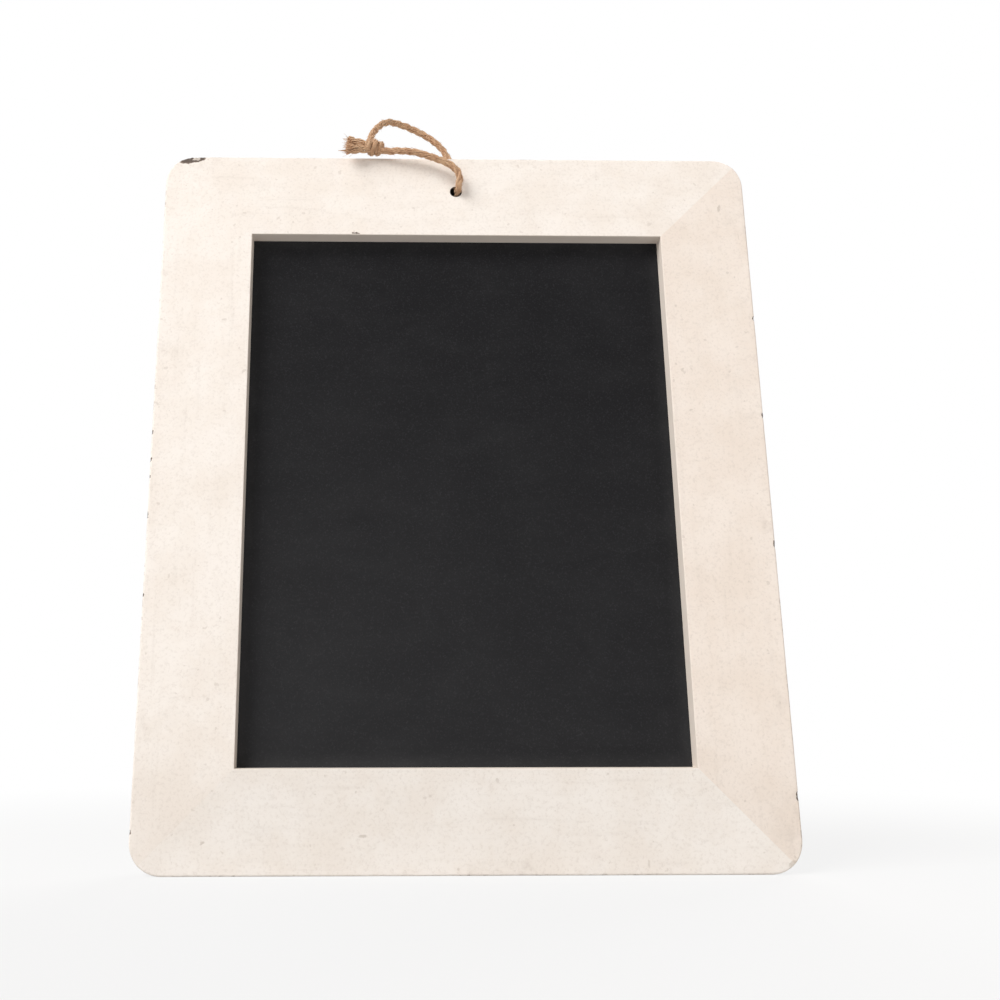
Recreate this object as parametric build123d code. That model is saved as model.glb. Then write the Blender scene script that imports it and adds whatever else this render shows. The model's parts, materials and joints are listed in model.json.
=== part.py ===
from build123d import *
import math
import os

# A slate writing board: a mitred and rebated wooden frame, a slate with a backing board behind it, the steel
# that holds them together, and a loop of twine to hang the board by.
# Millimetres. X runs to the right, Y to the back and Z up. The origin is the middle of the bottom edge,
# halfway through the frame's thickness. The writing side faces -Y.

# Frame: all four members are one moulding, whose face falls from the sight edge to the outer edge
BOARD_WIDTH = 280.0
BOARD_HEIGHT = 330.0
MEMBER_WIDTH = 43.0
FRAME_THICKNESS = 16.0
FACE_FALL = 3.5
CORNER_RADIUS = 14.0
EDGE_EASE = 0.8
SIGHT_EASE = 0.4

# Rebate, and what lies in it from front to back
LIP_WIDTH = 5.0
SLATE_THICKNESS = 4.0
SLATE_CHAMFER = 0.5
BACKING_THICKNESS = 3.0
PANEL_CLEARANCE = 0.5
REBATE_SPARE = 1.4

# Framer's points: bitten into the rebate's wall, lying on the backing board
POINT_STEEL = 0.6
POINT_WIDTH = 6.0
POINT_BITE = 8.0
POINT_REACH = 8.0
POINTS_ON_SIDE = 3
POINTS_ON_END = 2

# V-nails: pressed across each mitre from the back
NAIL_STEEL = 0.6
NAIL_LEG = 6.0
NAIL_DEPTH = 8.0
NAIL_SINK = 0.3
NAILS_ON_MITRE = 2

# Hanging hole in the middle of the top rail
HOLE_DIAMETER = 5.5
HOLE_DROP = 19.0

# Twine
TWINE_DIAMETER = 3.0
TAIL_ROOT_DIAMETER = 2.8
TAIL_TIP_DIAMETER = 4.0
KNOT_WRAP_RADIUS = 2.9
KNOT_WRAP_PITCH = 2.9
KNOT_WRAP_LEAN = 20.0
KNOT_WRAPS = 3
ARC_SHARE = 0.45

# Depths and outlines that follow from these
FRONT = -FRAME_THICKNESS / 2
BACK = FRAME_THICKNESS / 2
OUTER_FRONT = FRONT + FACE_FALL
POINT_BACK = BACK - REBATE_SPARE
BACKING_BACK = POINT_BACK - POINT_STEEL
SLATE_BACK = BACKING_BACK - BACKING_THICKNESS
SLATE_FRONT = SLATE_BACK - SLATE_THICKNESS
OPENING_WIDTH = BOARD_WIDTH - 2 * MEMBER_WIDTH
OPENING_HEIGHT = BOARD_HEIGHT - 2 * MEMBER_WIDTH
REBATE_WIDTH = OPENING_WIDTH + 2 * LIP_WIDTH
REBATE_HEIGHT = OPENING_HEIGHT + 2 * LIP_WIDTH
PANEL_WIDTH = REBATE_WIDTH - 2 * PANEL_CLEARANCE
PANEL_HEIGHT = REBATE_HEIGHT - 2 * PANEL_CLEARANCE
HOLE_HEIGHT = BOARD_HEIGHT - HOLE_DROP
TOUCH = 0.001


# Places on the twine: across from the hole's axis, out from one side of the frame, and up from its top edge
def in_front(across, ahead, up):
    return Vector(across, FRONT - ahead, BOARD_HEIGHT + up)


def behind(across, beyond, up):
    return Vector(across, BACK + beyond, BOARD_HEIGHT + up)


def over_top(across, share, up):
    return Vector(across, FRONT + share * FRAME_THICKNESS, BOARD_HEIGHT + up)


def at_hole(across, depth, up):
    return Vector(across, depth, HOLE_HEIGHT + up)


TWINE_ROUTE = [
    in_front(-36.4, 0.1, 1.8),
    in_front(-31.5, 0.8, 0.8),
    in_front(-25.9, 1.4, 0.8),
    in_front(-19.2, 2.0, -0.2),
    in_front(-11.6, 2.5, -3.2),
    in_front(-4.7, 2.7, -6.0),
    in_front(0.0, 2.6, -9.4),
    in_front(2.0, 2.1, -13.8),
    at_hole(0.8, FRONT - 1.3, 0.3),
    at_hole(0.7, FRONT + 0.3 * FRAME_THICKNESS, -0.1),
    at_hole(0.4, FRONT + 0.7 * FRAME_THICKNESS, 0.1),
    at_hole(0.6, BACK + 2.0, 0.2),
    behind(0.5, 2.2, -12.2),
    behind(0.8, 2.3, -5.0),
    behind(0.3, 2.3, 2.8),
    behind(-2.5, 2.3, 10.7),
    behind(-7.0, 2.4, 17.2),
    behind(-13.3, 2.5, 22.2),
    behind(-20.4, 2.0, 25.7),
    over_top(-27.8, 0.97, 27.2),
    over_top(-33.8, 0.72, 25.4),
    over_top(-38.2, 0.47, 19.1),
    over_top(-41.1, 0.26, 12.4),
    over_top(-41.6, 0.08, 5.9),
]
KNOT_CENTRE = in_front(-39.2, -0.9, 3.5)
UPPER_TAIL = [in_front(-40.0, -0.9, 4.3), in_front(-46.4, 0.3, 5.4), in_front(-53.0, 0.2, 6.9)]
LOWER_TAIL = [in_front(-40.0, -0.9, 2.7), in_front(-46.6, 0.8, 1.9), in_front(-54.2, 1.6, 1.3)]


def face_plane(depth):
    return Plane(origin=(0, depth, BOARD_HEIGHT / 2), x_dir=(1, 0, 0), z_dir=(0, -1, 0))


def slab(outline, back, front):
    return extrude(face_plane(back) * outline, back - front)


# The whole frame before it is parted at the mitres
def frame_blank():
    outline = slab(RectangleRounded(BOARD_WIDTH, BOARD_HEIGHT, CORNER_RADIUS), BACK, FRONT)
    square_part = slab(Rectangle(BOARD_WIDTH, BOARD_HEIGHT), BACK, OUTER_FRONT)
    sloping_part = loft(
        [
            face_plane(OUTER_FRONT) * Rectangle(BOARD_WIDTH, BOARD_HEIGHT),
            face_plane(FRONT) * Rectangle(OPENING_WIDTH, OPENING_HEIGHT),
        ],
        ruled=True,
    )
    opening = slab(Rectangle(OPENING_WIDTH, OPENING_HEIGHT), BACK, FRONT)
    rebate = slab(Rectangle(REBATE_WIDTH, REBATE_HEIGHT), BACK, SLATE_FRONT)
    return (outline & (square_part + sloping_part)) - opening - rebate


# How far a place lies inside the board's rounded outline
def outline_gap(place):
    past_side = abs(place.X) - (BOARD_WIDTH / 2 - CORNER_RADIUS)
    past_end = abs(place.Z - BOARD_HEIGHT / 2) - (BOARD_HEIGHT / 2 - CORNER_RADIUS)
    if past_side > 0 and past_end > 0:
        return CORNER_RADIUS - math.hypot(past_side, past_end)
    return CORNER_RADIUS - max(past_side, past_end)


def is_outer_arris(edge):
    along_face = abs((edge @ 0).Y - (edge @ 1).Y) < FACE_FALL / 2
    return along_face and abs(outline_gap(edge @ 0.5)) < TOUCH


# Outer arrises are sanded round the whole frame, and the sight edge more lightly
def eased(member):
    member = fillet([edge for edge in member.edges() if is_outer_arris(edge)], EDGE_EASE)
    sight_edge = member.edges().filter_by_position(Axis.Y, FRONT, FRONT)
    return fillet(sight_edge, SIGHT_EASE)


# One wedge for each member: its sides follow the mitres past the board's outer corners and into the opening
def mitre_wedges():
    over = MEMBER_WIDTH / 2
    x, z = BOARD_WIDTH / 2 + over, BOARD_HEIGHT / 2 + over
    u, w = OPENING_WIDTH / 2 - over, OPENING_HEIGHT / 2 - over
    outlines = {
        "top_rail": [(-x, z), (-u, w), (u, w), (x, z)],
        "bottom_rail": [(-x, -z), (x, -z), (u, -w), (-u, -w)],
        "left_stile": [(-x, z), (-x, -z), (-u, -w), (-u, w)],
        "right_stile": [(x, -z), (x, z), (u, w), (u, -w)],
    }
    wedges = {}
    for name, points in outlines.items():
        wedges[name] = slab(Polygon(*points, align=None), BACK + over, FRONT - over)
    return wedges


# A V-nail is an L in plan, with one leg in each member and its corner on the mitre
def v_nails():
    leg, steel = NAIL_LEG, NAIL_STEEL
    plan = Polygon((0, 0), (-leg, 0), (-leg, -steel), (-steel, -steel), (-steel, -leg), (0, -leg), align=None)
    room = MEMBER_WIDTH - LIP_WIDTH - NAIL_LEG
    head = BACK - NAIL_SINK
    nails = []
    for turn, (side, end) in zip((0, 90, 180, 270), ((1, 1), (-1, 1), (-1, -1), (1, -1))):
        for count in range(NAILS_ON_MITRE):
            inset = room * (count + 1) / (NAILS_ON_MITRE + 1)
            corner = Pos(side * (BOARD_WIDTH / 2 - inset), end * (BOARD_HEIGHT / 2 - inset))
            nails += slab(corner * Rot(0, 0, turn) * plan, head, head - NAIL_DEPTH).solids()
    return nails


# Points along each wall of the rebate, with the pointed end in the wood
def retaining_points():
    half = POINT_WIDTH / 2
    shoulder = -POINT_BITE / 2
    plan = Polygon(
        (-POINT_BITE, 0),
        (shoulder, -half),
        (POINT_REACH, -half),
        (POINT_REACH, half),
        (shoulder, half),
        align=None,
    )
    walls = [
        (0, REBATE_WIDTH, REBATE_HEIGHT, POINTS_ON_SIDE),
        (180, REBATE_WIDTH, REBATE_HEIGHT, POINTS_ON_SIDE),
        (90, REBATE_HEIGHT, REBATE_WIDTH, POINTS_ON_END),
        (270, REBATE_HEIGHT, REBATE_WIDTH, POINTS_ON_END),
    ]
    points = []
    for turn, span, length, count in walls:
        for step in range(count):
            along = length * ((step + 0.5) / count - 0.5)
            points += slab(Rot(0, 0, turn) * Pos(-span / 2, along) * plan, POINT_BACK, BACKING_BACK).solids()
    return points


def hanging_hole():
    middle = Plane(origin=(0, BACK, HOLE_HEIGHT), x_dir=(1, 0, 0), z_dir=(0, -1, 0))
    return extrude(middle * Circle(HOLE_DIAMETER / 2), FRAME_THICKNESS)


def frame_members(steel):
    blank = frame_blank()
    members = {name: eased(blank & wedge) - steel for name, wedge in mitre_wedges().items()}
    members["top_rail"] -= hanging_hole()
    return members


def slate_panel():
    panel = slab(Rectangle(PANEL_WIDTH, PANEL_HEIGHT), SLATE_BACK, SLATE_FRONT)
    return chamfer(panel.faces().sort_by(Axis.Y)[-1].edges(), SLATE_CHAMFER)


def backing_board():
    return slab(Rectangle(PANEL_WIDTH, PANEL_HEIGHT), BACKING_BACK, SLATE_BACK)


# The arc at each point of a route is as large as its two runs allow
def arc_radii(route):
    radii = []
    for before, point, after in zip(route, route[1:], route[2:]):
        turn = math.radians((point - before).get_angle(after - point))
        shorter = min((point - before).length, (after - point).length)
        radii.append(ARC_SHARE * shorter / math.tan(turn / 2))
    return radii


def twine_tube(route):
    radii = arc_radii(route)
    path = FilletPolyline(*route, radius=radii)
    tube = sweep(Plane(origin=path @ 0, z_dir=path % 0) * Circle(TWINE_DIAMETER / 2), path=path)
    plain_volume = math.pi * TWINE_DIAMETER**2 / 4 * path.length
    print("twine radii", [round(radius, 1) for radius in radii])
    print("twine length", round(path.length, 1), "tube over plain", round(tube.volume / plain_volume, 4))
    return tube


# Leaning wraps of twine, side by side on a core that fills them
def twine_knot():
    wrap = Torus(KNOT_WRAP_RADIUS, TWINE_DIAMETER / 2)
    length = KNOT_WRAP_PITCH * (KNOT_WRAPS - 1)
    knot = Rot(0, 90, 0) * Cylinder(KNOT_WRAP_RADIUS, length)
    for count in range(KNOT_WRAPS):
        lean = KNOT_WRAP_LEAN if count % 2 else -KNOT_WRAP_LEAN
        knot += Pos(KNOT_WRAP_PITCH * count - length / 2, 0, 0) * Rot(0, 90 + lean, 0) * wrap
    return Pos(*KNOT_CENTRE) * knot


# A tail swells towards its frayed end
def twine_tail(route):
    start, middle, end = route
    sizes = (TAIL_ROOT_DIAMETER, (TAIL_ROOT_DIAMETER + TAIL_TIP_DIAMETER) / 2, TAIL_TIP_DIAMETER)
    ways = (middle - start, end - start, end - middle)
    rings = []
    for place, way, size in zip(route, ways, sizes):
        rings.append(Plane(origin=place, z_dir=way) * Circle(size / 2))
    return loft(rings)


def build_parts():
    points = retaining_points()
    nails = v_nails()
    parts = frame_members(points + nails)
    parts["slate_panel"] = slate_panel()
    parts["backing_board"] = backing_board()
    parts["retaining_points"] = Compound(children=points)
    parts["corner_v_nails"] = Compound(children=nails)
    knot = twine_knot()
    parts["twine_knot"] = knot
    parts["twine_loop"] = twine_tube(TWINE_ROUTE) - knot
    parts["twine_tail_upper"] = twine_tail(UPPER_TAIL) - knot
    parts["twine_tail_lower"] = twine_tail(LOWER_TAIL) - knot - parts["twine_tail_upper"]
    return parts


os.makedirs("parts", exist_ok=True)
for name, part in build_parts().items():
    export_step(part, f"parts/{name}.step")
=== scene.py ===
import json
import math
import random

import bmesh
import bpy
from mathutils import Matrix, Vector, noise


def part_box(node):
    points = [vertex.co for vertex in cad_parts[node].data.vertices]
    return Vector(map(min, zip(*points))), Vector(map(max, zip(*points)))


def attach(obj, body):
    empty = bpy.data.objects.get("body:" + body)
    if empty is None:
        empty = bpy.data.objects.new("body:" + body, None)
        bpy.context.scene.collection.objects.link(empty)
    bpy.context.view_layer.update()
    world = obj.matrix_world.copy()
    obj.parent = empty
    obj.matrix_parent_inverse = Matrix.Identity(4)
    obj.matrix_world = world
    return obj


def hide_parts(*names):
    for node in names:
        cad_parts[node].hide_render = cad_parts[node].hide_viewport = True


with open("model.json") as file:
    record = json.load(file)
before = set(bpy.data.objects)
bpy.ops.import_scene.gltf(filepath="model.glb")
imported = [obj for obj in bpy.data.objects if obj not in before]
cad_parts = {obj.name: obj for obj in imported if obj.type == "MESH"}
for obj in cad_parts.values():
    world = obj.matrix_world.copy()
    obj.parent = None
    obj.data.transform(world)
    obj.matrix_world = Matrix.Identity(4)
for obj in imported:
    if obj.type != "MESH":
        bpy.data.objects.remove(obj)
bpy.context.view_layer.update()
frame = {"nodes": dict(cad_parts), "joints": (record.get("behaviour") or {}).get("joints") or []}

nodes = frame["nodes"]
scene = bpy.context.scene
mm = 0.001
print("stage: frame loaded,", len(nodes), "nodes")

# places that every piece shares, read from the frame
topLow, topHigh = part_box("top_rail")
leftLow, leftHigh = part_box("left_stile")
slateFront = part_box("slate_panel")[0].y
boardHalf = -leftLow.x  # half the board's width
boardTop = topHigh.z
sightHalf = -leftHigh.x
sightTop = topLow.z
memberWidth = boardTop - sightTop
sightTall = (sightTop - memberWidth) / 2
frontFace = topLow.y
backFace = topHigh.y
hole = Vector(frame["joints"][0]["pos_m"])

# how close two places are to count as one, in merging, in cutting and in picking edges
sameSpot = 0.001 * mm
touching = 0.01 * mm
nearby = 0.1 * mm


# camera

cameraView = {
    "place": (-0.0386, -0.4260, 0.0610),
    "tilt": 103.05,  # 90 is level
    "roll": 0.07,
    "turn": -0.89,
    "lens": 34.79,
    "shift": 0.110,  # the photograph is framed off the lens axis
}


def setCamera(view):
    data = bpy.data.cameras.new("photoCamera")
    data.sensor_width = 36.0
    data.lens = view["lens"]
    data.shift_x = view["shift"]
    data.clip_start = 0.01
    camera = bpy.data.objects.new("photoCamera", data)
    camera.location = view["place"]
    camera.rotation_euler = [math.radians(view[turn]) for turn in ("tilt", "roll", "turn")]
    scene.collection.objects.link(camera)
    scene.camera = camera


setCamera(cameraView)
scene.view_settings.view_transform = "Standard"
print("stage: camera set")


# shader helpers

def put(tree, kind, inputs=None, **settings):
    node = tree.nodes.new("ShaderNode" + kind)
    for key, value in settings.items():
        setattr(node, key, value)
    for key, value in (inputs or {}).items():
        if isinstance(value, bpy.types.NodeSocket):
            tree.links.new(value, node.inputs[key])
        else:
            node.inputs[key].default_value = value
    return node


def maths(tree, operation, a, b=0.0, clamp=False):
    return put(tree, "Math", {0: a, 1: b}, operation=operation, use_clamp=clamp).outputs[0]


def vectorMaths(tree, operation, a, b=(0.0, 0.0, 0.0)):
    outputs = put(tree, "VectorMath", {0: a, 1: b}, operation=operation).outputs
    return outputs["Value" if operation == "LENGTH" else "Vector"]


def smoothStep(tree, value, low, high, start=0.0, end=1.0):
    inputs = {"Value": value, "From Min": low, "From Max": high, "To Min": start, "To Max": end}
    return put(tree, "MapRange", inputs, interpolation_type="SMOOTHSTEP").outputs[0]


def blendColour(tree, amount, a, b, way="MIX"):
    node = put(tree, "Mix", {0: amount, 6: a, 7: b}, data_type="RGBA", blend_type=way)
    return node.outputs[2]


def noiseAt(tree, place, scale, detail=3.0, rough=0.55, stretch=None, twist=0.0):
    if stretch:
        place = put(tree, "Mapping", {"Vector": place, "Scale": stretch}).outputs[0]
    inputs = {"Vector": place, "Scale": scale, "Detail": detail, "Roughness": rough, "Distortion": twist}
    return put(tree, "TexNoise", inputs).outputs["Fac"]


def tone(red, green, blue):
    parts = []
    for part in (red, green, blue):
        part /= 255.0
        parts.append(part / 12.92 if part <= 0.04045 else ((part + 0.055) / 1.055) ** 2.4)
    return (*parts, 1.0)


def newMaterial(name):
    material = bpy.data.materials.new(name)
    material.use_nodes = True
    tree = material.node_tree
    tree.nodes.clear()
    shader = put(tree, "BsdfPrincipled")
    output = put(tree, "OutputMaterial", {"Surface": shader.outputs[0]})
    output.is_active_output = True
    place = put(tree, "TexCoord").outputs["Object"]
    return material, tree, shader, place


def bumpFrom(tree, shader, height, strength, distance):
    inputs = {"Height": height, "Strength": strength, "Distance": distance}
    tree.links.new(put(tree, "Bump", inputs).outputs[0], shader.inputs["Normal"])


def newGroup(name, inputs, outputs):
    group = bpy.data.node_groups.new(name, "ShaderNodeTree")
    for socketName, kind in inputs:
        group.interface.new_socket(socketName, in_out="INPUT", socket_type=kind)
    for socketName, kind in outputs:
        group.interface.new_socket(socketName, in_out="OUTPUT", socket_type=kind)
    entry = group.nodes.new("NodeGroupInput")
    leave = group.nodes.new("NodeGroupOutput")
    return group, entry.outputs, leave.inputs


def useGroup(tree, group, inputs):
    return put(tree, "Group", inputs, node_tree=group).outputs


# fine speckle and soft mottling, for every dry surface
def speckleGroup():
    inputs = [("Place", "NodeSocketVector"), ("Grain", "NodeSocketFloat"), ("Cloud", "NodeSocketFloat")]
    outputs = [("Speckle", "NodeSocketFloat"), ("Mottle", "NodeSocketFloat")]
    group, entry, leave = newGroup("drySpeckle", inputs, outputs)
    grain = put(group, "TexNoise", {"Vector": entry[0], "Scale": entry[1], "Detail": 2.0, "Roughness": 0.7})
    cloud = put(group, "TexNoise", {"Vector": entry[0], "Scale": entry[2], "Detail": 4.0, "Roughness": 0.6})
    group.links.new(grain.outputs["Fac"], leave[0])
    group.links.new(cloud.outputs["Fac"], leave[1])
    return group


# how far a place lies in from the board's rounded outline and out from the slate's opening,
# and whether it is on a stile
def boardGapsGroup(radius):
    inputs = [("Place", "NodeSocketVector")]
    outputs = [("Outline", "NodeSocketFloat"), ("Opening", "NodeSocketFloat"), ("Stile", "NodeSocketFloat")]
    group, entry, leave = newGroup("boardGaps", inputs, outputs)
    split = put(group, "SeparateXYZ", {0: entry[0]}).outputs
    side = maths(group, "ABSOLUTE", split[0])
    end = maths(group, "ABSOLUTE", maths(group, "SUBTRACT", split[2], boardTop / 2))
    pastSide = maths(group, "SUBTRACT", side, boardHalf - radius)
    pastEnd = maths(group, "SUBTRACT", end, boardTop / 2 - radius)
    roundSide = maths(group, "MAXIMUM", pastSide, 0.0)
    roundEnd = maths(group, "MAXIMUM", pastEnd, 0.0)
    sideSquared = maths(group, "POWER", roundSide, 2.0)
    endSquared = maths(group, "POWER", roundEnd, 2.0)
    fromCentre = maths(group, "SQRT", maths(group, "ADD", sideSquared, endSquared))
    inside = maths(group, "MINIMUM", maths(group, "MAXIMUM", pastSide, pastEnd), 0.0)
    gap = maths(group, "SUBTRACT", radius, maths(group, "ADD", fromCentre, inside))
    fromSide = maths(group, "SUBTRACT", side, sightHalf)
    fromEnd = maths(group, "SUBTRACT", end, sightTall)
    group.links.new(gap, leave[0])
    group.links.new(maths(group, "MAXIMUM", fromSide, fromEnd), leave[1])
    group.links.new(maths(group, "GREATER_THAN", fromSide, fromEnd), leave[2])
    return group


# frame members

moulding = {
    "fall": 3.5 * mm,  # from the sight edge to the outer edge
    "lip": 5.0 * mm,  # laps the slate
    "corner": 14.0 * mm,
    "cornerSteps": 9,
    "arris": 0.9 * mm,
    "sightArris": 0.4 * mm,
    "arrisSteps": 4,
    "slice": 6.0 * mm,
    "chipSlice": 0.45 * mm,  # finer beside a chip
    "edgeCuts": (1.6 * mm, 3.4 * mm),  # in from the outer edge
    "sanded": 1.2 * mm,  # how far in from the outline the hand sanding shows
    "wobble": 0.06 * mm,
    "wobbleScale": 70.0,
    "chipMargin": 4.0 * mm,  # a chip this far past a member still touches it
    "chipReach": 2.5 * mm,  # how far in from the outline a chip bites
    "chipFall": 2.4 * mm,  # how far down the side it reaches
    "chipScale": 900.0,
    "holeRadius": 2.75 * mm,
    "holeSides": 48,
    "drillLength": 40.0 * mm,
    "slotOpening": 1.0 * mm,  # how far the cutters stand out of the back
}

outerFront = frontFace + moulding["fall"]  # depth of the outer arris

# places where the paint has gone: middle, tilt, half length, half width, bite
paintChips = [
    ((-0.1272, 0.3283), 14, 8.2 * mm, 2.5 * mm, 0.40 * mm),
    ((0.1397, 0.2469), 88, 1.5 * mm, 0.9 * mm, 0.35 * mm),
    ((0.1397, 0.1991), 95, 1.8 * mm, 0.9 * mm, 0.30 * mm),
    ((0.1397, 0.1387), 90, 2.3 * mm, 0.9 * mm, 0.30 * mm),
    ((0.1397, 0.0312), 84, 2.6 * mm, 1.0 * mm, 0.30 * mm),
    ((-0.1397, 0.1900), 90, 1.1 * mm, 0.5 * mm, 0.15 * mm),
    ((-0.1397, 0.1773), 92, 1.2 * mm, 0.5 * mm, 0.15 * mm),
    ((-0.1397, 0.1693), 90, 0.9 * mm, 0.5 * mm, 0.15 * mm),
    ((-0.1397, 0.1518), 90, 2.0 * mm, 0.5 * mm, 0.15 * mm),
    ((-0.1397, 0.1161), 90, 1.1 * mm, 0.5 * mm, 0.15 * mm),
    ((-0.1397, 0.0175), 86, 1.4 * mm, 0.7 * mm, 0.25 * mm),
]
sightNicks = [((-0.0480, 0.2879), 2, 2.4 * mm, 0.5 * mm, 0.0)]
faceMarks = [
    ((-0.1096, 0.0133), 30, 2.0 * mm, 0.9 * mm, 0.0),
    ((-0.0433, 0.0160), 8, 2.6 * mm, 0.9 * mm, 0.0),
    ((0.1271, 0.3034), 80, 3.2 * mm, 1.1 * mm, 0.0),
    ((0.1345, 0.0046), 45, 3.0 * mm, 1.4 * mm, 0.0),
]
chipHeart = [((-0.1258, 0.3288), 10, 3.4 * mm, 1.5 * mm, 0.0)]  # pale wood in the largest


def finishMesh(name, mesh, material, body, sharp=40):
    mesh.shade_smooth()
    mesh.set_sharp_from_angle(angle=math.radians(sharp))
    piece = bpy.data.objects.new(name, mesh)
    scene.collection.objects.link(piece)
    mesh.materials.clear()
    mesh.materials.append(material)
    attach(piece, body)
    return piece


# one member lies along X with its outer edge at z = 0, and is turned to its side of the board at the end
def memberBlank(half):
    v = moulding
    bm = bmesh.new()
    ends = []
    for side in (1, -1):
        start = bm.verts.new((side * (half - v["corner"]), backFace, 0))
        arc = bmesh.ops.spin(
            bm, geom=[start], cent=(start.co.x, backFace, v["corner"]), axis=(0, 1, 0),
            angle=math.radians(-45 * side), steps=v["cornerSteps"], use_merge=False)
        last = [item for item in arc["geom_last"] if isinstance(item, bmesh.types.BMVert)][0]
        rebate = memberWidth - v["lip"]
        inner = bm.verts.new((side * (half - rebate), backFace, rebate))
        bm.edges.new((last, inner))
        ends.append((start, inner))
    bm.edges.new((ends[0][0], ends[1][0]))
    bm.edges.new((ends[0][1], ends[1][1]))
    bmesh.ops.edgenet_fill(bm, edges=bm.edges[:])
    pushForward(bm, bm.faces[:], slateFront - backFace)
    step = pushForward(bm, frontFaces(bm, slateFront), 0.0)
    for vert in step:
        if vert.co.z > memberWidth - v["lip"] - nearby:  # the lip reaches on to the sight edge
            vert.co.z = memberWidth
            vert.co.x = math.copysign(half - memberWidth, vert.co.x)
    lipFaces = [face for face in bm.faces if all(vert in step for vert in face.verts)]
    pushForward(bm, lipFaces, frontFace - slateFront)
    for vert in bm.verts:
        if abs(vert.co.y - frontFace) < touching:
            vert.co.y += v["fall"] * (1 - vert.co.z / memberWidth)
    bmesh.ops.remove_doubles(bm, verts=bm.verts[:], dist=sameSpot)
    bmesh.ops.recalc_face_normals(bm, faces=bm.faces[:])
    return bm


def pushForward(bm, faces, distance):
    edges = dict.fromkeys(edge for face in faces for edge in face.edges)  # each edge once, in order
    pushed = bmesh.ops.extrude_face_region(bm, geom=faces + list(edges))["geom"]  # leaves no face inside
    verts = [item for item in pushed if isinstance(item, bmesh.types.BMVert)]
    bmesh.ops.translate(bm, verts=verts, vec=(0, distance, 0))
    return verts


def frontFaces(bm, depth):
    return [face for face in bm.faces if all(abs(vert.co.y - depth) < touching for vert in face.verts)]


def outlineGap(place):
    radius = moulding["corner"]
    pastSide = abs(place.x) - (boardHalf - radius)
    pastEnd = abs(place.z - boardTop / 2) - (boardTop / 2 - radius)
    inside = min(max(pastSide, pastEnd), 0.0)
    return radius - math.hypot(max(pastSide, 0.0), max(pastEnd, 0.0)) - inside


def roundArrises(bm, half):
    v = moulding
    outer = []
    sight = []
    for edge in bm.edges:
        a, b = (vert.co for vert in edge.verts)
        middle = (a + b) / 2
        level = abs(a.y - b.y) < v["fall"] / 2
        past = abs(middle.x) - (half - v["corner"])
        onArc = past > 0 and abs(math.hypot(past, v["corner"] - middle.z) - v["corner"]) < nearby
        between = abs(middle.y - slateFront) < nearby  # where the lip starts
        if level and not between and (middle.z < touching or onArc):
            outer.append(edge)
        if min(a.z, b.z) > memberWidth - touching and middle.y < frontFace + touching:
            sight.append(edge)
    for edges, size in ((outer, v["arris"]), (sight, v["sightArris"])):
        bmesh.ops.bevel(
            bm, geom=edges, offset=size, segments=v["arrisSteps"], profile=0.5, affect="EDGES", material=-1,
            clamp_overlap=True)


def sliceAcross(bm, half, closeTo):
    v = moulding
    count = int((half - v["corner"]) / v["slice"])
    places = [step * v["slice"] for step in range(-count, count + 1)]
    for middle, reach in closeTo:
        count = 2 + int(2 * reach / v["chipSlice"])
        places += [middle + reach * (2 * step / count - 1) for step in range(count + 1)]
    cuts = [((place, 0, 0), (1, 0, 0)) for place in places]
    cuts += [((0, 0, depth), (0, 0, 1)) for depth in v["edgeCuts"]]
    for place, way in cuts:
        geom = bm.verts[:] + bm.edges[:] + bm.faces[:]
        bmesh.ops.bisect_plane(bm, geom=geom, dist=touching, plane_co=place, plane_no=way)


# a slot for each V-nail, opened to the back, and the drilled hole
def cutters():
    v = moulding
    bm = bmesh.new()
    bm.from_mesh(nodes["corner_v_nails"].data)
    bmesh.ops.remove_doubles(bm, verts=bm.verts[:], dist=sameSpot)
    nailTops = max(vert.co.y for vert in bm.verts)
    for vert in bm.verts:
        if vert.co.y > nailTops - nearby:
            vert.co.y = backFace + v["slotOpening"]
    drill = Matrix.Translation(hole) @ Matrix.Rotation(math.radians(90), 4, "X")
    bmesh.ops.create_cone(
        bm, cap_ends=True, segments=v["holeSides"], radius1=v["holeRadius"], radius2=v["holeRadius"],
        depth=v["drillLength"], matrix=drill)
    mesh = bpy.data.meshes.new("cutters")
    bm.to_mesh(mesh)
    bm.free()
    piece = bpy.data.objects.new("cutters", mesh)
    scene.collection.objects.link(piece)
    return piece


def cutWith(mesh, cutter):
    rough = bpy.data.objects.new("roughMember", mesh)
    scene.collection.objects.link(rough)
    cut = rough.modifiers.new("slots", "BOOLEAN")
    cut.operation = "DIFFERENCE"
    cut.solver = "EXACT"
    cut.object = cutter
    result = bpy.data.meshes.new_from_object(rough.evaluated_get(bpy.context.evaluated_depsgraph_get()))
    bpy.data.objects.remove(rough)
    return result


# paint chips bite into the arris, and sanding leaves it a little uneven
def wearArris(mesh):
    v = moulding
    bm = bmesh.new()
    bm.from_mesh(mesh)
    bmesh.ops.dissolve_degenerate(bm, dist=2 * sameSpot, edges=bm.edges[:])
    for vert in bm.verts:
        place = vert.co
        gap = outlineGap(place)
        if gap < v["sanded"]:
            uneven = v["wobble"] * noise.noise(Vector((place.x, 0, place.z)) * v["wobbleScale"])
            vert.co = place + Vector((vert.normal.x, 0, vert.normal.z)) * uneven
        for (x, z), tilt, length, width, bite in paintChips:
            below = (place.y - outerFront) / v["chipFall"]
            near = Vector(((place.x - x) / length, below, (place.z - z) / length)).length
            if near < 1 and gap < v["chipReach"]:
                rough = 0.6 + 0.8 * noise.noise(place * v["chipScale"])
                vert.co -= vert.normal * bite * rough * (1 - near * near)
    bm.to_mesh(mesh)
    bm.free()


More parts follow.
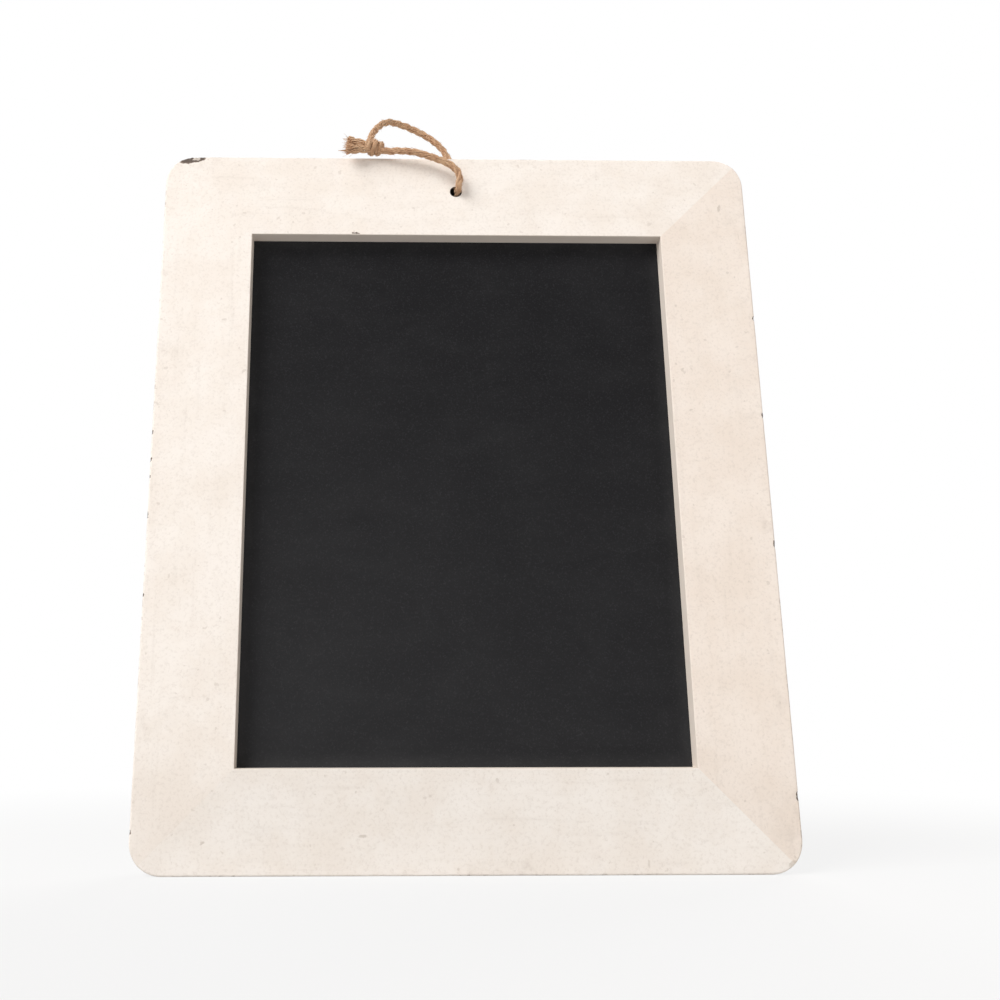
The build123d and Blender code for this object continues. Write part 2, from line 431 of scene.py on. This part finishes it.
# faces that nearly agree are averaged by area, so that flats stay flat and arcs stay round
def steadyNormals(mesh, widest=28):
    agree = math.cos(math.radians(widest))
    around = [[] for vert in mesh.vertices]
    for face in mesh.polygons:
        for vert in face.vertices:
            around[vert].append((face.normal.copy(), face.area))
    normals = []
    for face in mesh.polygons:
        for vert in face.vertices:
            total = Vector()
            for normal, area in around[vert]:
                if normal.dot(face.normal) > agree:
                    total += normal * area
            normals.append(total.normalized() if total.length > 0 else face.normal.copy())
    mesh.normals_split_custom_set(normals)


def makeMember(node, half, turn, place, cutter, material):
    bm = memberBlank(half)
    roundArrises(bm, half)
    toBoard = Matrix.Translation(place) @ Matrix.Rotation(math.radians(turn), 4, "Y")
    fromBoard = toBoard.inverted()
    low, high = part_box(node)
    margin = moulding["chipMargin"]
    closeTo = []
    for (x, z), tilt, length, width, bite in paintChips:
        if low.x - margin < x < high.x + margin and low.z - margin < z < high.z + margin:
            closeTo.append(((fromBoard @ Vector((x, 0, z))).x, length))
    sliceAcross(bm, half, closeTo)
    bmesh.ops.transform(bm, matrix=toBoard, verts=bm.verts[:])
    bmesh.ops.recalc_face_normals(bm, faces=bm.faces[:])
    mesh = bpy.data.meshes.new(node + "Painted")
    bm.to_mesh(mesh)
    bm.free()
    mesh = cutWith(mesh, cutter)
    wearArris(mesh)
    piece = finishMesh(node + "Painted", mesh, material, "board")
    steadyNormals(mesh)
    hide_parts(node)
    print("stage:", node, len(mesh.vertices), "vertices")


paintLook = {
    "cream": tone(247, 240, 233),
    "warm": tone(242, 233, 224),
    "rightWarmLight": (1.02, 0.985, 0.960, 1.0),  # painted warm light falling on the right stile
    # painted light: the bottom rail lighter and cooler, as light from below falls on it
    "bottomCoolLight": (1.0, 1.012, 1.022, 1.0),
    "grimeAndShade": tone(188, 175, 163),
    "bareWood": tone(132, 116, 103),
    "deepChip": tone(92, 80, 72),
    "heart": tone(196, 186, 176),
    "sightWall": tone(228, 217, 206),
    # painted shade deep in the drilled hole
    "boreShade": tone(38, 30, 25),
    "lowShade": 0.16,  # painted shade, darker low on the stiles
    "lowShadeTop": 80.0 * mm,
    "ragged": 2.0 * mm,  # how far a chip's edge wanders
    "chipDown": 2.2 * mm,  # how far its bare wood goes down the side
    "roughness": 0.60,
    "specular": 0.3,
}


# how deep a place lies in the worn chips, from 0 on sound paint to 1 in a chip's middle
def chipDepth(tree, place, chips, level=0.0, tall=0.0):
    inputs = {"Vector": place, "Scale": 620.0, "Detail": 3.0, "Roughness": 0.6}
    wander = put(tree, "TexNoise", inputs).outputs["Color"]
    wander = vectorMaths(tree, "SUBTRACT", wander, (0.5, 0.5, 0.5))
    wander = vectorMaths(tree, "MULTIPLY", wander, [paintLook["ragged"]] * 3)
    ragged = vectorMaths(tree, "ADD", place, wander)
    deepest = None
    for (x, z), tilt, length, width, bite in chips:
        away = vectorMaths(tree, "SUBTRACT", ragged, (x, level, z))
        inputs = {"Vector": away, "Angle": math.radians(tilt)}
        turned = put(tree, "VectorRotate", inputs, rotation_type="Y_AXIS").outputs[0]
        flat = vectorMaths(tree, "MULTIPLY", turned, (1 / length, tall, 1 / width))
        far = vectorMaths(tree, "LENGTH", flat)
        depth = smoothStep(tree, far, 0.2, 1.0, 1.0, 0.0)
        deepest = depth if deepest is None else maths(tree, "MAXIMUM", deepest, depth)
    return deepest


def creamPaint(speckle, gaps):
    look = paintLook
    material, tree, shader, place = newMaterial("wornCreamPaint")
    dry = useGroup(tree, speckle, {"Place": place, "Grain": 780.0, "Cloud": 46.0})
    board = useGroup(tree, gaps, {"Place": place})
    across, depth, height = put(tree, "SeparateXYZ", {0: place}).outputs
    alongRail = noiseAt(tree, place, 300.0, 3.0, 0.6, stretch=(0.07, 1.0, 1.0))
    alongStile = noiseAt(tree, place, 300.0, 3.0, 0.6, stretch=(1.0, 1.0, 0.07))
    streak = put(tree, "Mix", {0: board["Stile"], 2: alongRail, 3: alongStile}).outputs[0]

    colour = blendColour(tree, smoothStep(tree, dry["Mottle"], 0.32, 0.70), look["cream"], look["warm"])
    # painted light: the right stile warmer and the bottom rail lighter and cooler, as the light falls on
    # each
    onRight = maths(tree, "MULTIPLY", board["Stile"], maths(tree, "GREATER_THAN", across, 0.0))
    colour = blendColour(tree, onRight, colour, look["rightWarmLight"], "MULTIPLY")
    onBottom = maths(tree, "GREATER_THAN", maths(tree, "LESS_THAN", height, boardTop / 2), board["Stile"])
    colour = blendColour(tree, onBottom, colour, look["bottomCoolLight"], "MULTIPLY")
    fleck = smoothStep(tree, dry["Speckle"], 0.46, 0.74, 0.0, 0.20)
    colour = blendColour(tree, fleck, colour, look["grimeAndShade"])
    brushed = smoothStep(tree, streak, 0.52, 0.80, 0.0, 0.12)
    colour = blendColour(tree, brushed, colour, look["grimeAndShade"])

    # handling grime in small soft patches, more of it towards the outer edge, and painted shade that
    # darkens the stiles towards the bottom
    patch = noiseAt(tree, place, 62.0, 5.0, 0.7)
    nearEdge = smoothStep(tree, board["Outline"], 0.0, 20 * mm, 1.0, 0.3)
    grimeAndShade = maths(tree, "MULTIPLY", smoothStep(tree, patch, 0.55, 0.80, 0.0, 0.34), nearEdge)
    colour = blendColour(tree, grimeAndShade, colour, look["grimeAndShade"])
    # painted shade: the stiles darken towards the bottom, where less light reaches
    lowDown = smoothStep(tree, height, 5 * mm, look["lowShadeTop"], look["lowShade"], 0.0)
    colour = blendColour(tree, maths(tree, "MULTIPLY", lowDown, board["Stile"]), colour, look["grimeAndShade"])
    dots = noiseAt(tree, place, 330.0, 1.0, 0.4)
    colour = blendColour(tree, smoothStep(tree, dots, 0.735, 0.775, 0.0, 0.30), colour, look["grimeAndShade"])

    # the sight walls are greyed by chalk and cloth
    inFront = smoothStep(tree, depth, slateFront - 0.2 * mm, slateFront + 0.2 * mm, 1.0, 0.0)
    atSight = smoothStep(tree, board["Opening"], 0.10 * mm, 0.35 * mm, 1.0, 0.0)
    wall = maths(tree, "MULTIPLY", atSight, inFront)
    soiled = smoothStep(tree, noiseAt(tree, place, 140.0, 4.0, 0.65), 0.3, 0.75, 0.84, 1.0)
    colour = blendColour(tree, maths(tree, "MULTIPLY", wall, soiled), colour, look["sightWall"])

    # thin broken wear along the outer arris
    breakUp = noiseAt(tree, place, 420.0, 4.0, 0.7)
    inPlaces = noiseAt(tree, place, 24.0, 2.0, 0.5)
    arris = smoothStep(tree, board["Outline"], 0.1 * mm, 1.1 * mm, 1.0, 0.0)
    fromFront = maths(tree, "ABSOLUTE", maths(tree, "SUBTRACT", depth, outerFront))
    fromBack = maths(tree, "ABSOLUTE", maths(tree, "SUBTRACT", depth, backFace))
    nearest = maths(tree, "MINIMUM", fromFront, fromBack)
    arris = maths(tree, "MULTIPLY", arris, smoothStep(tree, nearest, 0.6 * mm, 2.2 * mm, 1.0, 0.06))
    worn = maths(tree, "MULTIPLY", arris, smoothStep(tree, inPlaces, 0.48, 0.64))
    worn = maths(tree, "MULTIPLY", worn, smoothStep(tree, breakUp, 0.52, 0.60))
    colour = blendColour(tree, maths(tree, "MULTIPLY", worn, 0.6), colour, look["bareWood"])

    # chips down to the wood: a brown rim, a dark middle, and pale wood in the heart of the largest
    ahead = smoothStep(tree, depth, frontFace + 4.5 * mm, frontFace + 9 * mm, 1.0, 0.0)
    nicked = maths(tree, "MULTIPLY", chipDepth(tree, place, sightNicks), ahead)
    chipped = chipDepth(tree, place, paintChips, outerFront, 1 / look["chipDown"])
    chipped = maths(tree, "MAXIMUM", chipped, nicked)
    heart = maths(tree, "MULTIPLY", chipDepth(tree, place, chipHeart), ahead)
    bare = smoothStep(tree, chipped, 0.08, 0.22)
    colour = blendColour(tree, bare, colour, look["bareWood"])
    colour = blendColour(tree, smoothStep(tree, chipped, 0.25, 0.45), colour, look["deepChip"])
    colour = blendColour(tree, smoothStep(tree, heart, 0.35, 0.75), colour, look["heart"])

    # soft grey marks on the faces
    marked = maths(tree, "MULTIPLY", chipDepth(tree, place, faceMarks), ahead)
    colour = blendColour(tree, smoothStep(tree, marked, 0.1, 0.9, 0.0, 0.5), colour, look["grimeAndShade"])

    # the drilled hole is bare wood, painted near-black inside as painted shade
    fromHole = vectorMaths(tree, "MULTIPLY", vectorMaths(tree, "SUBTRACT", place, hole), (1.0, 0.0, 1.0))
    fromHole = vectorMaths(tree, "LENGTH", fromHole)
    rim = moulding["holeRadius"]
    boreShade = smoothStep(tree, fromHole, rim + 0.02 * mm, rim + 0.25 * mm, 1.0, 0.0)
    colour = blendColour(tree, boreShade, colour, look["boreShade"])
    tree.links.new(colour, shader.inputs["Base Color"])

    rough = maths(tree, "ADD", look["roughness"], maths(tree, "MULTIPLY", dry["Mottle"], 0.14))
    tree.links.new(rough, shader.inputs["Roughness"])
    shader.inputs["Specular IOR Level"].default_value = look["specular"]
    relief = maths(tree, "MULTIPLY", maths(tree, "ADD", dry["Speckle"], streak), 0.5)
    relief = maths(tree, "SUBTRACT", relief, maths(tree, "MULTIPLY", bare, 1.2))
    bumpFrom(tree, shader, relief, 0.4, 0.12 * mm)
    return material


# slate, backing and steel keep their solids

slateLook = {
    "stone": tone(20, 20, 22),
    "paler": tone(26, 26, 28),
    "grit": tone(60, 60, 63),
    "chalk": tone(176, 177, 180),
    "wiped": 0.012,
    # painted light: the slate lighter low on the left
    "lowLeftLight": 0.036,
    "edgeDust": 0.05,
    "edgeWidth": 7.0 * mm,
    "roughness": 0.70,
    "specular": 0.07,
}


def writingSlate(speckle, gaps):
    look = slateLook
    material, tree, shader, place = newMaterial("writingSlate")
    dry = useGroup(tree, speckle, {"Place": place, "Grain": 1500.0, "Cloud": 34.0})
    board = useGroup(tree, gaps, {"Place": place})
    split = put(tree, "SeparateXYZ", {0: place}).outputs
    colour = blendColour(tree, dry["Mottle"], look["stone"], look["paler"])
    grit = smoothStep(tree, dry["Speckle"], 0.50, 0.80, 0.0, 0.42)
    colour = blendColour(tree, grit, colour, look["grit"])

    # chalk dust wiped thin and gathered along the frame, and painted light that makes the slate lighter low
    # on the left
    wiped = noiseAt(tree, place, 46.0, 6.0, 0.66, stretch=(0.5, 1.0, 1.0), twist=0.4)
    # painted light: lighter low on the left, where the light falls
    low = smoothStep(tree, split[2], sightTop, memberWidth, 0.2, 1.0)
    left = smoothStep(tree, split[0], -sightHalf, sightHalf, 1.0, 0.6)
    lowLeftLight = maths(tree, "MULTIPLY", maths(tree, "MULTIPLY", low, left), look["lowLeftLight"])
    chalkAndLight = smoothStep(tree, wiped, 0.35, 0.80, 0.0, look["wiped"])
    edge = smoothStep(tree, board["Opening"], -look["edgeWidth"], 0.0, 0.0, look["edgeDust"])
    chalkAndLight = maths(tree, "ADD", maths(tree, "ADD", chalkAndLight, lowLeftLight), maths(tree, "MULTIPLY", edge, dry["Mottle"]))
    colour = blendColour(tree, chalkAndLight, colour, look["chalk"])
    tree.links.new(colour, shader.inputs["Base Color"])
    rough = maths(tree, "ADD", look["roughness"], maths(tree, "MULTIPLY", chalkAndLight, 1.5), clamp=True)
    tree.links.new(rough, shader.inputs["Roughness"])
    shader.inputs["Specular IOR Level"].default_value = look["specular"]
    grain = noiseAt(tree, place, 900.0, 3.0, 0.6, stretch=(0.25, 1.0, 1.0))
    relief = maths(tree, "MULTIPLY", maths(tree, "ADD", dry["Speckle"], grain), 0.5)
    bumpFrom(tree, shader, relief, 0.25, 0.08 * mm)
    return material


fibreLook = {
    "dark": tone(96, 66, 44),
    "light": tone(146, 108, 74),
    "specks": tone(70, 48, 33),
    "pale": tone(160, 124, 90),
    "roughness": 0.72,
}


def pressedFibre(speckle):
    look = fibreLook
    material, tree, shader, place = newMaterial("pressedFibreBoard")
    dry = useGroup(tree, speckle, {"Place": place, "Grain": 800.0, "Cloud": 60.0})
    fibres = noiseAt(tree, place, 500.0, 5.0, 0.75, stretch=(1.0, 1.0, 0.45), twist=1.2)
    colour = blendColour(tree, fibres, look["dark"], look["light"])
    specks = smoothStep(tree, dry["Speckle"], 0.55, 0.75, 0.0, 0.5)
    colour = blendColour(tree, specks, colour, look["specks"])
    faded = smoothStep(tree, dry["Mottle"], 0.45, 0.8, 0.0, 0.4)
    colour = blendColour(tree, faded, colour, look["pale"])
    tree.links.new(colour, shader.inputs["Base Color"])
    shader.inputs["Roughness"].default_value = look["roughness"]
    bumpFrom(tree, shader, fibres, 0.3, 0.1 * mm)
    return material


steelLook = {
    "dull": tone(138, 140, 143),
    "bright": tone(176, 176, 174),
    "stain": tone(120, 108, 96),
    "roughness": 0.26,
}


def stampedSteel(speckle):
    look = steelLook
    material, tree, shader, place = newMaterial("stampedSteel")
    dry = useGroup(tree, speckle, {"Place": place, "Grain": 1500.0, "Cloud": 180.0})
    colour = blendColour(tree, dry["Mottle"], look["dull"], look["bright"])
    stained = smoothStep(tree, dry["Speckle"], 0.62, 0.8, 0.0, 0.5)
    colour = blendColour(tree, stained, colour, look["stain"])
    tree.links.new(colour, shader.inputs["Base Color"])
    shader.inputs["Metallic"].default_value = 1.0
    rough = maths(tree, "ADD", look["roughness"], maths(tree, "MULTIPLY", dry["Mottle"], 0.25))
    tree.links.new(rough, shader.inputs["Roughness"])
    bumpFrom(tree, shader, dry["Speckle"], 0.15, 0.05 * mm)
    return material


def dress(node, material):
    mesh = nodes[node].data
    for slot in range(max(1, len(mesh.materials))):
        if slot < len(mesh.materials):
            mesh.materials[slot] = material
        else:
            mesh.materials.append(material)


speckle = speckleGroup()
gaps = boardGapsGroup(moulding["corner"])
paint = creamPaint(speckle, gaps)
cutter = cutters()
makeMember("bottom_rail", boardHalf, 0, Vector((0, 0, 0)), cutter, paint)
makeMember("top_rail", boardHalf, 180, Vector((0, 0, boardTop)), cutter, paint)
makeMember("left_stile", boardTop / 2, 90, Vector((-boardHalf, 0, boardTop / 2)), cutter, paint)
makeMember("right_stile", boardTop / 2, -90, Vector((boardHalf, 0, boardTop / 2)), cutter, paint)
bpy.data.objects.remove(cutter)
dress("slate_panel", writingSlate(speckle, gaps))
dress("backing_board", pressedFibre(speckle))
steel = stampedSteel(speckle)
dress("corner_v_nails", steel)
dress("retaining_points", steel)
print("stage: frame, slate and backing dressed")


# twine

twine = {
    "diameter": 3.0 * mm,
    "length": 0.160,
    "plies": 3,
    "yarnsPerPly": 6,
    "plyOffset": 0.76 * mm,
    "yarnOffset": 0.66 * mm,
    "yarnRadius": 0.31 * mm,
    "lay": 14.0 * mm,  # one turn of the plies
    "yarnLay": 10.0 * mm,  # one turn of a ply's yarns, the other way
    "fuzz": 1500,
    "fuzzLength": 1.3 * mm,
    "knotFuzz": 420,
    "knotFuzzLength": 1.2 * mm,
    "fuzzRadius": 0.04 * mm,
    "fuzzRoot": 0.40,  # where a loose fibre starts, as a share of the diameter
}

# the route goes from the hole, up over the knot and the arch, and down behind the rail into the hole again,
# as across from the hole, depth, and height above the top edge
holeRise = hole.z - boardTop
frontRoute = [
    (0.7, -3.2, holeRise / mm - 0.1),
    (0.8, -9.3, holeRise / mm + 0.3),
    (2.0, -10.1, -13.8),
    (0.0, -10.6, -9.4),
    (-4.7, -10.7, -6.0),
    (-11.6, -10.5, -3.2),
    (-19.2, -10.0, -0.2),
    (-25.9, -9.4, 0.8),
    (-31.5, -8.8, 0.8),
    (-36.4, -8.1, 1.8),
]
backRoute = [
    (-41.6, -6.7, 5.9),
    (-41.1, -3.8, 12.4),
    (-38.2, -0.5, 19.1),
    (-33.8, 3.5, 25.4),
    (-27.8, 7.5, 27.2),
    (-20.4, 10.0, 25.7),
    (-13.3, 10.5, 22.2),
    (-7.0, 10.4, 17.2),
    (-2.5, 10.3, 10.7),
    (0.3, 10.3, 2.8),
    (0.8, 10.3, -5.0),
    (0.5, 10.2, -12.2),
    (0.6, 10.0, holeRise / mm + 0.2),
    (0.4, 3.2, holeRise / mm + 0.1),
]


def onBoard(points):
    return [Vector((x, y, boardTop / mm + z)) * mm for x, y, z in points]


# points along a smooth line through a route's control points
def smoothLine(points, steps=10):
    data = bpy.data.curves.new("routeLine", "CURVE")
    data.dimensions = "3D"
    data.resolution_u = steps
    spline = data.splines.new("NURBS")
    spline.points.add(len(points) - 1)
    for item, place in zip(spline.points, points):
        item.co = (*place, 1.0)
    spline.order_u = 3
    spline.use_endpoint_u = True
    line = bpy.data.objects.new("routeLine", data)
    mesh = bpy.data.meshes.new_from_object(line)
    places = [vert.co.copy() for vert in mesh.vertices]
    bpy.data.objects.remove(line)
    bpy.data.meshes.remove(mesh)
    return places


# a frame carried along the line without twisting, with the distance from its start
def alongLine(places):
    way = (places[1] - places[0]).normalized()
    side = way.orthogonal().normalized()
    travelled = 0.0
    frames = []
    for count, place in enumerate(places):
        if 0 < count:
            travelled += (place - places[count - 1]).length
        ahead = places[min(count + 1, len(places) - 1)] - places[max(count - 1, 0)]
        newWay = ahead.normalized()
        side = way.rotation_difference(newWay) @ side
        way = newWay
        side = (side - way * side.dot(way)).normalized()
        frames.append((place, side, way.cross(side), travelled))
    return frames


def tubes(name, lines, radius, sides, material):
    data = bpy.data.curves.new(name, "CURVE")
    data.dimensions = "3D"
    data.bevel_depth = radius
    data.bevel_resolution = sides
    data.use_fill_caps = True
    for line in lines:
        spline = data.splines.new("POLY")
        spline.points.add(len(line) - 1)
        for item, place in zip(spline.points, line):
            item.co = (*place, 1.0)
    piece = bpy.data.objects.new(name, data)
    mesh = bpy.data.meshes.new_from_object(piece)
    bpy.data.objects.remove(piece)
    return finishMesh(name, mesh, material, "hanging_loop", sharp=80)


# the yarns of every ply, laid round a line; spread opens them out towards the far end
def yarnLines(places, rng, spread=None):
    v = twine
    frames = alongLine(places)
    total = frames[-1][3]
    lines = []
    for ply in range(v["plies"]):
        for yarn in range(v["yarnsPerPly"]):
            slack = rng.uniform(0.88, 1.12)
            start = rng.uniform(-0.2, 0.2)
            line = []
            for place, side, up, travelled in frames:
                opened = 1.0 if spread is None else spread(travelled / total)
                plyTurn = 2 * math.pi * (travelled / v["lay"] + ply / v["plies"])
                yarnTurn = 2 * math.pi * (yarn / v["yarnsPerPly"] - travelled / v["yarnLay"]) + start
                ring = v["plyOffset"] * opened
                inner = v["yarnOffset"] * slack * opened
                across = ring * math.cos(plyTurn) + inner * math.cos(yarnTurn)
                rise = ring * math.sin(plyTurn) + inner * math.sin(yarnTurn)
                line.append(place + side * across + up * rise)
            lines.append(line)
    return lines


# loose fibres that stand off the surface and curl
def fuzzLines(places, rng, count, length):
    frames = alongLine(places)
    lines = []
    for fibre in range(count):
        place, side, up, travelled = frames[rng.randrange(2, len(frames) - 2)]
        turn = rng.uniform(0, 2 * math.pi)
        out = side * math.cos(turn) + up * math.sin(turn)
        along = side.cross(up) * rng.choice((-1, 1))
        reach = length * rng.uniform(0.35, 1.0)
        lean = rng.uniform(0.3, 1.6)
        curl = Vector([rng.uniform(-0.5, 0.5) for axis in range(3)])
        start = place + out * twine["diameter"] * twine["fuzzRoot"]
        line = []
        for step in range(5):
            t = step / 4
            line.append(start + (out * (1 - 0.4 * t) + along * lean * t + curl * t * t) * reach * t)
        lines.append(line)
    return lines


juteLook = {
    "pale": tone(221, 187, 152),
    "middle": tone(204, 162, 127),
    "dark": tone(157, 115, 84),
    "roughness": 0.86,
    "sheen": 0.25,
    "sheenRoughness": 0.5,
    "specular": 0.2,
}


def juteFibre(speckle):
    look = juteLook
    material, tree, shader, place = newMaterial("juteFibre")
    dry = useGroup(tree, speckle, {"Place": place, "Grain": 2600.0, "Cloud": 240.0})
    colour = blendColour(tree, smoothStep(tree, dry["Mottle"], 0.30, 0.70), look["middle"], look["pale"])
    shaded = smoothStep(tree, dry["Speckle"], 0.48, 0.75, 0.0, 0.65)
    colour = blendColour(tree, shaded, colour, look["dark"])
    tree.links.new(colour, shader.inputs["Base Color"])
    shader.inputs["Roughness"].default_value = look["roughness"]
    shader.inputs["Sheen Weight"].default_value = look["sheen"]
    shader.inputs["Sheen Roughness"].default_value = look["sheenRoughness"]
    shader.inputs["Specular IOR Level"].default_value = look["specular"]
    bumpFrom(tree, shader, dry["Speckle"], 0.5, 0.1 * mm)
    return material


jute = juteFibre(speckle)
rng = random.Random(5)
route = onBoard(frontRoute) + onBoard(backRoute)
loopLine = smoothLine(route)
loopLength = alongLine(loopLine)[-1][3]
print("stage: twine route", len(route), "points,", round(loopLength, 4), "m")
loopPiece = tubes("twineLoop", yarnLines(loopLine, rng), twine["yarnRadius"], 1, jute)
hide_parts("twine_loop")
fuzzFibres = fuzzLines(loopLine, rng, twine["fuzz"], twine["fuzzLength"])
fuzz = tubes("twineFuzz", fuzzFibres, twine["fuzzRadius"], 0, jute)

knotForm = {
    "middle": (-39.6, -7.1, 4.0),
    "turns": 2.5,
    "radius": 2.55 * mm,
    "pitch": 3.0 * mm,
    "lean": -6.0,
    "turned": 12.0,
    "steps": 12,  # control points in a turn
}


# the arch's strand wraps round the two ends before it joins them
def knotRoute():
    v = knotForm
    middle = onBoard([v["middle"]])[0]
    turned = Matrix.Rotation(math.radians(v["turned"]), 3, "Z")
    lean = Matrix.Rotation(math.radians(v["lean"]), 3, "Y") @ turned
    points = []
    count = int(v["turns"] * v["steps"])
    for step in range(count + 1):
        turn = 2 * math.pi * step / v["steps"]
        along = v["pitch"] * (v["turns"] / 2 - step / v["steps"])
        share = step / count
        tucked = min(1.0, 0.3 + 9 * share * (1 - share))  # the ends go in under the wraps
        reach = v["radius"] * tucked * (0.86 + 0.2 * math.sin(math.pi * share))
        points.append(middle + lean @ Vector((along, -reach * math.sin(turn), reach * math.cos(turn))))
    return points


tailForm = {
    "upper": [
        (-38.0, -7.4, 4.2),
        (-42.5, -7.9, 4.9),
        (-46.4, -8.3, 5.4),
        (-49.6, -8.3, 6.0),
        (-52.2, -8.2, 6.7),
    ],
    "lower": [
        (-38.0, -7.4, 2.9),
        (-42.5, -8.2, 2.4),
        (-46.6, -8.8, 1.9),
        (-50.0, -9.3, 1.6),
        (-52.9, -9.5, 1.4),
    ],
    "swell": 1.12,
    "spread": 0.55,
    "frayFrom": 0.3,  # the share of its length where a tail starts to open
    "strays": 90,
    "strayRadius": 0.06 * mm,
    "strayDrift": 1.5 * mm,
    "strayPast": (-1.2, 1.3),  # how far it ends short of or past the tail, in mm
    "wisps": {  # fibres drawn out to a point: how many, and their way
        "upper": [],
        "lower": [
            (90, [(-50.8, -9.4, 1.0), (-53.8, -9.7, 0.3), (-56.8, -9.8, 0.4)]),
            (40, [(-46.2, -9.8, 0.9), (-48.4, -10.1, -0.2), (-50.6, -10.2, -1.2)]),
        ],
    },
    "wispWidth": 1.1 * mm,
}


def frayed(share):
    start = tailForm["frayFrom"]
    return tailForm["swell"] + tailForm["spread"] * max(0.0, share - start) / (1 - start)


# long fibres that have come out of a tail's cut end
def strayLines(places, rng, count):
    frames = alongLine(places)
    lines = []
    for fibre in range(count):
        start = int(len(frames) * rng.uniform(0.35, 0.75))
        turn = rng.uniform(0, 2 * math.pi)
        ring = twine["diameter"] * rng.uniform(0.15, 0.52)
        drift = Vector([rng.uniform(-1, 1) for axis in range(3)]) * tailForm["strayDrift"]
        past = rng.uniform(*tailForm["strayPast"]) * mm
        line = []
        span = len(frames) - start
        for step in range(7):
            t = step / 6
            place, side, up, travelled = frames[min(start + int(span * t), len(frames) - 1)]
            out = side * math.cos(turn + 1.5 * t) + up * math.sin(turn + 1.5 * t)
            ahead = side.cross(up)
            line.append(place + out * ring * (0.75 + 0.6 * t) + drift * t * t + ahead * past * t * t)
        lines.append(line)
    return lines


# fibres that run together to a point
def wispLines(wisps, rng):
    lines = []
    for count, way in wisps:
        frames = alongLine(smoothLine(onBoard(way), 4))
        total = frames[-1][3]
        for fibre in range(count):
            turn = rng.uniform(0, 2 * math.pi)
            ring = tailForm["wispWidth"] * rng.uniform(0.1, 1.0)
            tip = rng.uniform(0.7, 1.0)  # where it runs in to the point
            line = []
            for place, side, up, travelled in frames:
                closing = max(0.06, 1 - travelled / total / tip)
                line.append(place + (side * math.cos(turn) + up * math.sin(turn)) * ring * closing)
            lines.append(line)
    return lines


knotLine = smoothLine(knotRoute(), 4)
knotPiece = tubes("twineKnot", yarnLines(knotLine, rng), twine["yarnRadius"], 1, jute)
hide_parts("twine_knot")
knotFibres = fuzzLines(knotLine, rng, twine["knotFuzz"], twine["knotFuzzLength"])
knotFuzz = tubes("twineKnotFuzz", knotFibres, twine["fuzzRadius"], 0, jute)
onTwine = [fuzz, knotPiece, knotFuzz]
for side in ("upper", "lower"):
    line = smoothLine(onBoard(tailForm[side]), 8)
    yarns = yarnLines(line, rng, frayed)
    tail = tubes("twineTail" + side.capitalize(), yarns, twine["yarnRadius"], 1, jute)
    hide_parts("twine_tail_" + side)
    loose = strayLines(line, rng, tailForm["strays"]) + wispLines(tailForm["wisps"][side], rng)
    strays = tubes("twineStrays" + side.capitalize(), loose, tailForm["strayRadius"], 0, jute)
    onTwine += [tail, strays]
print("stage: twine tied")


# floor and light

stageLook = {
    "floor": tone(202, 201, 200),
    "floorSize": 6.0,
    "floorRoughness": 0.9,
    "fade": (0.2, 0.7),  # the floor turns to white between these distances, so no horizon shows
    "fadeLeast": 0.8,
    "sky": (1.0, 0.985, 0.965, 1.0),
    "skyStrength": 0.24,
    "white": (1.0, 1.0, 1.0, 1.0),
}
lamps = {
    "windowLight": {"place": (-2.7, -2.1, 3.0), "size": 2.6, "power": 200.0, "colour": (1.0, 0.99, 0.98)},
    "backLight": {"place": (1.3, 2.4, 1.9), "size": 2.4, "power": 62.0, "colour": (1.0, 0.99, 0.98)},
    "fillLight": {"place": (1.6, -2.0, 0.7), "size": 1.6, "power": 13.0, "colour": (1.0, 0.94, 0.88)},
}


# floor and sky are white to the eye and in reflections, and light the board by their own colours
def seenMask(tree):
    rays = put(tree, "LightPath").outputs
    seen = maths(tree, "MAXIMUM", rays["Is Camera Ray"], rays["Is Glossy Ray"])
    return maths(tree, "MAXIMUM", seen, rays["Is Transmission Ray"])


def makeFloor():
    look = stageLook
    bm = bmesh.new()
    bmesh.ops.create_grid(bm, x_segments=1, y_segments=1, size=look["floorSize"])
    mesh = bpy.data.meshes.new("paleFloor")
    bm.to_mesh(mesh)
    bm.free()
    floor = bpy.data.objects.new("paleFloor", mesh)
    scene.collection.objects.link(floor)
    material, tree, shader, place = newMaterial("paleFloor")
    shader.inputs["Base Color"].default_value = look["floor"]
    shader.inputs["Roughness"].default_value = look["floorRoughness"]
    white = put(tree, "Emission", {"Color": look["white"], "Strength": 1.0})
    away = vectorMaths(tree, "LENGTH", place)
    fade = smoothStep(tree, away, *look["fade"], look["fadeLeast"], 1.0)
    fade = maths(tree, "MULTIPLY", seenMask(tree), fade)
    lit = put(tree, "MixShader", {0: fade, 1: shader.outputs[0], 2: white.outputs[0]})
    output = [node for node in tree.nodes if node.type == "OUTPUT_MATERIAL"][0]
    tree.links.new(lit.outputs[0], output.inputs["Surface"])
    mesh.materials.append(material)


def makeSky():
    world = bpy.data.worlds.new("paleSky")
    world.use_nodes = True
    tree = world.node_tree
    tree.nodes.clear()
    light = put(tree, "Background", {"Color": stageLook["sky"], "Strength": stageLook["skyStrength"]})
    white = put(tree, "Background", {"Color": stageLook["white"], "Strength": 1.0})
    mixed = put(tree, "MixShader", {0: seenMask(tree), 1: light.outputs[0], 2: white.outputs[0]})
    put(tree, "OutputWorld", {"Surface": mixed.outputs[0]})
    scene.world = world


def makeLamps():
    target = Vector((0, 0, boardTop / 2))
    for name, lamp in lamps.items():
        data = bpy.data.lights.new(name, "AREA")
        data.shape = "SQUARE"
        data.size = lamp["size"]
        data.energy = lamp["power"]
        data.color = lamp["colour"]
        light = bpy.data.objects.new(name, data)
        light.location = lamp["place"]
        light.rotation_euler = (target - light.location).to_track_quat("-Z", "Y").to_euler()
        scene.collection.objects.link(light)


makeFloor()
makeSky()
makeLamps()
print("stage: floor and light set")

bpy.context.view_layer.update()
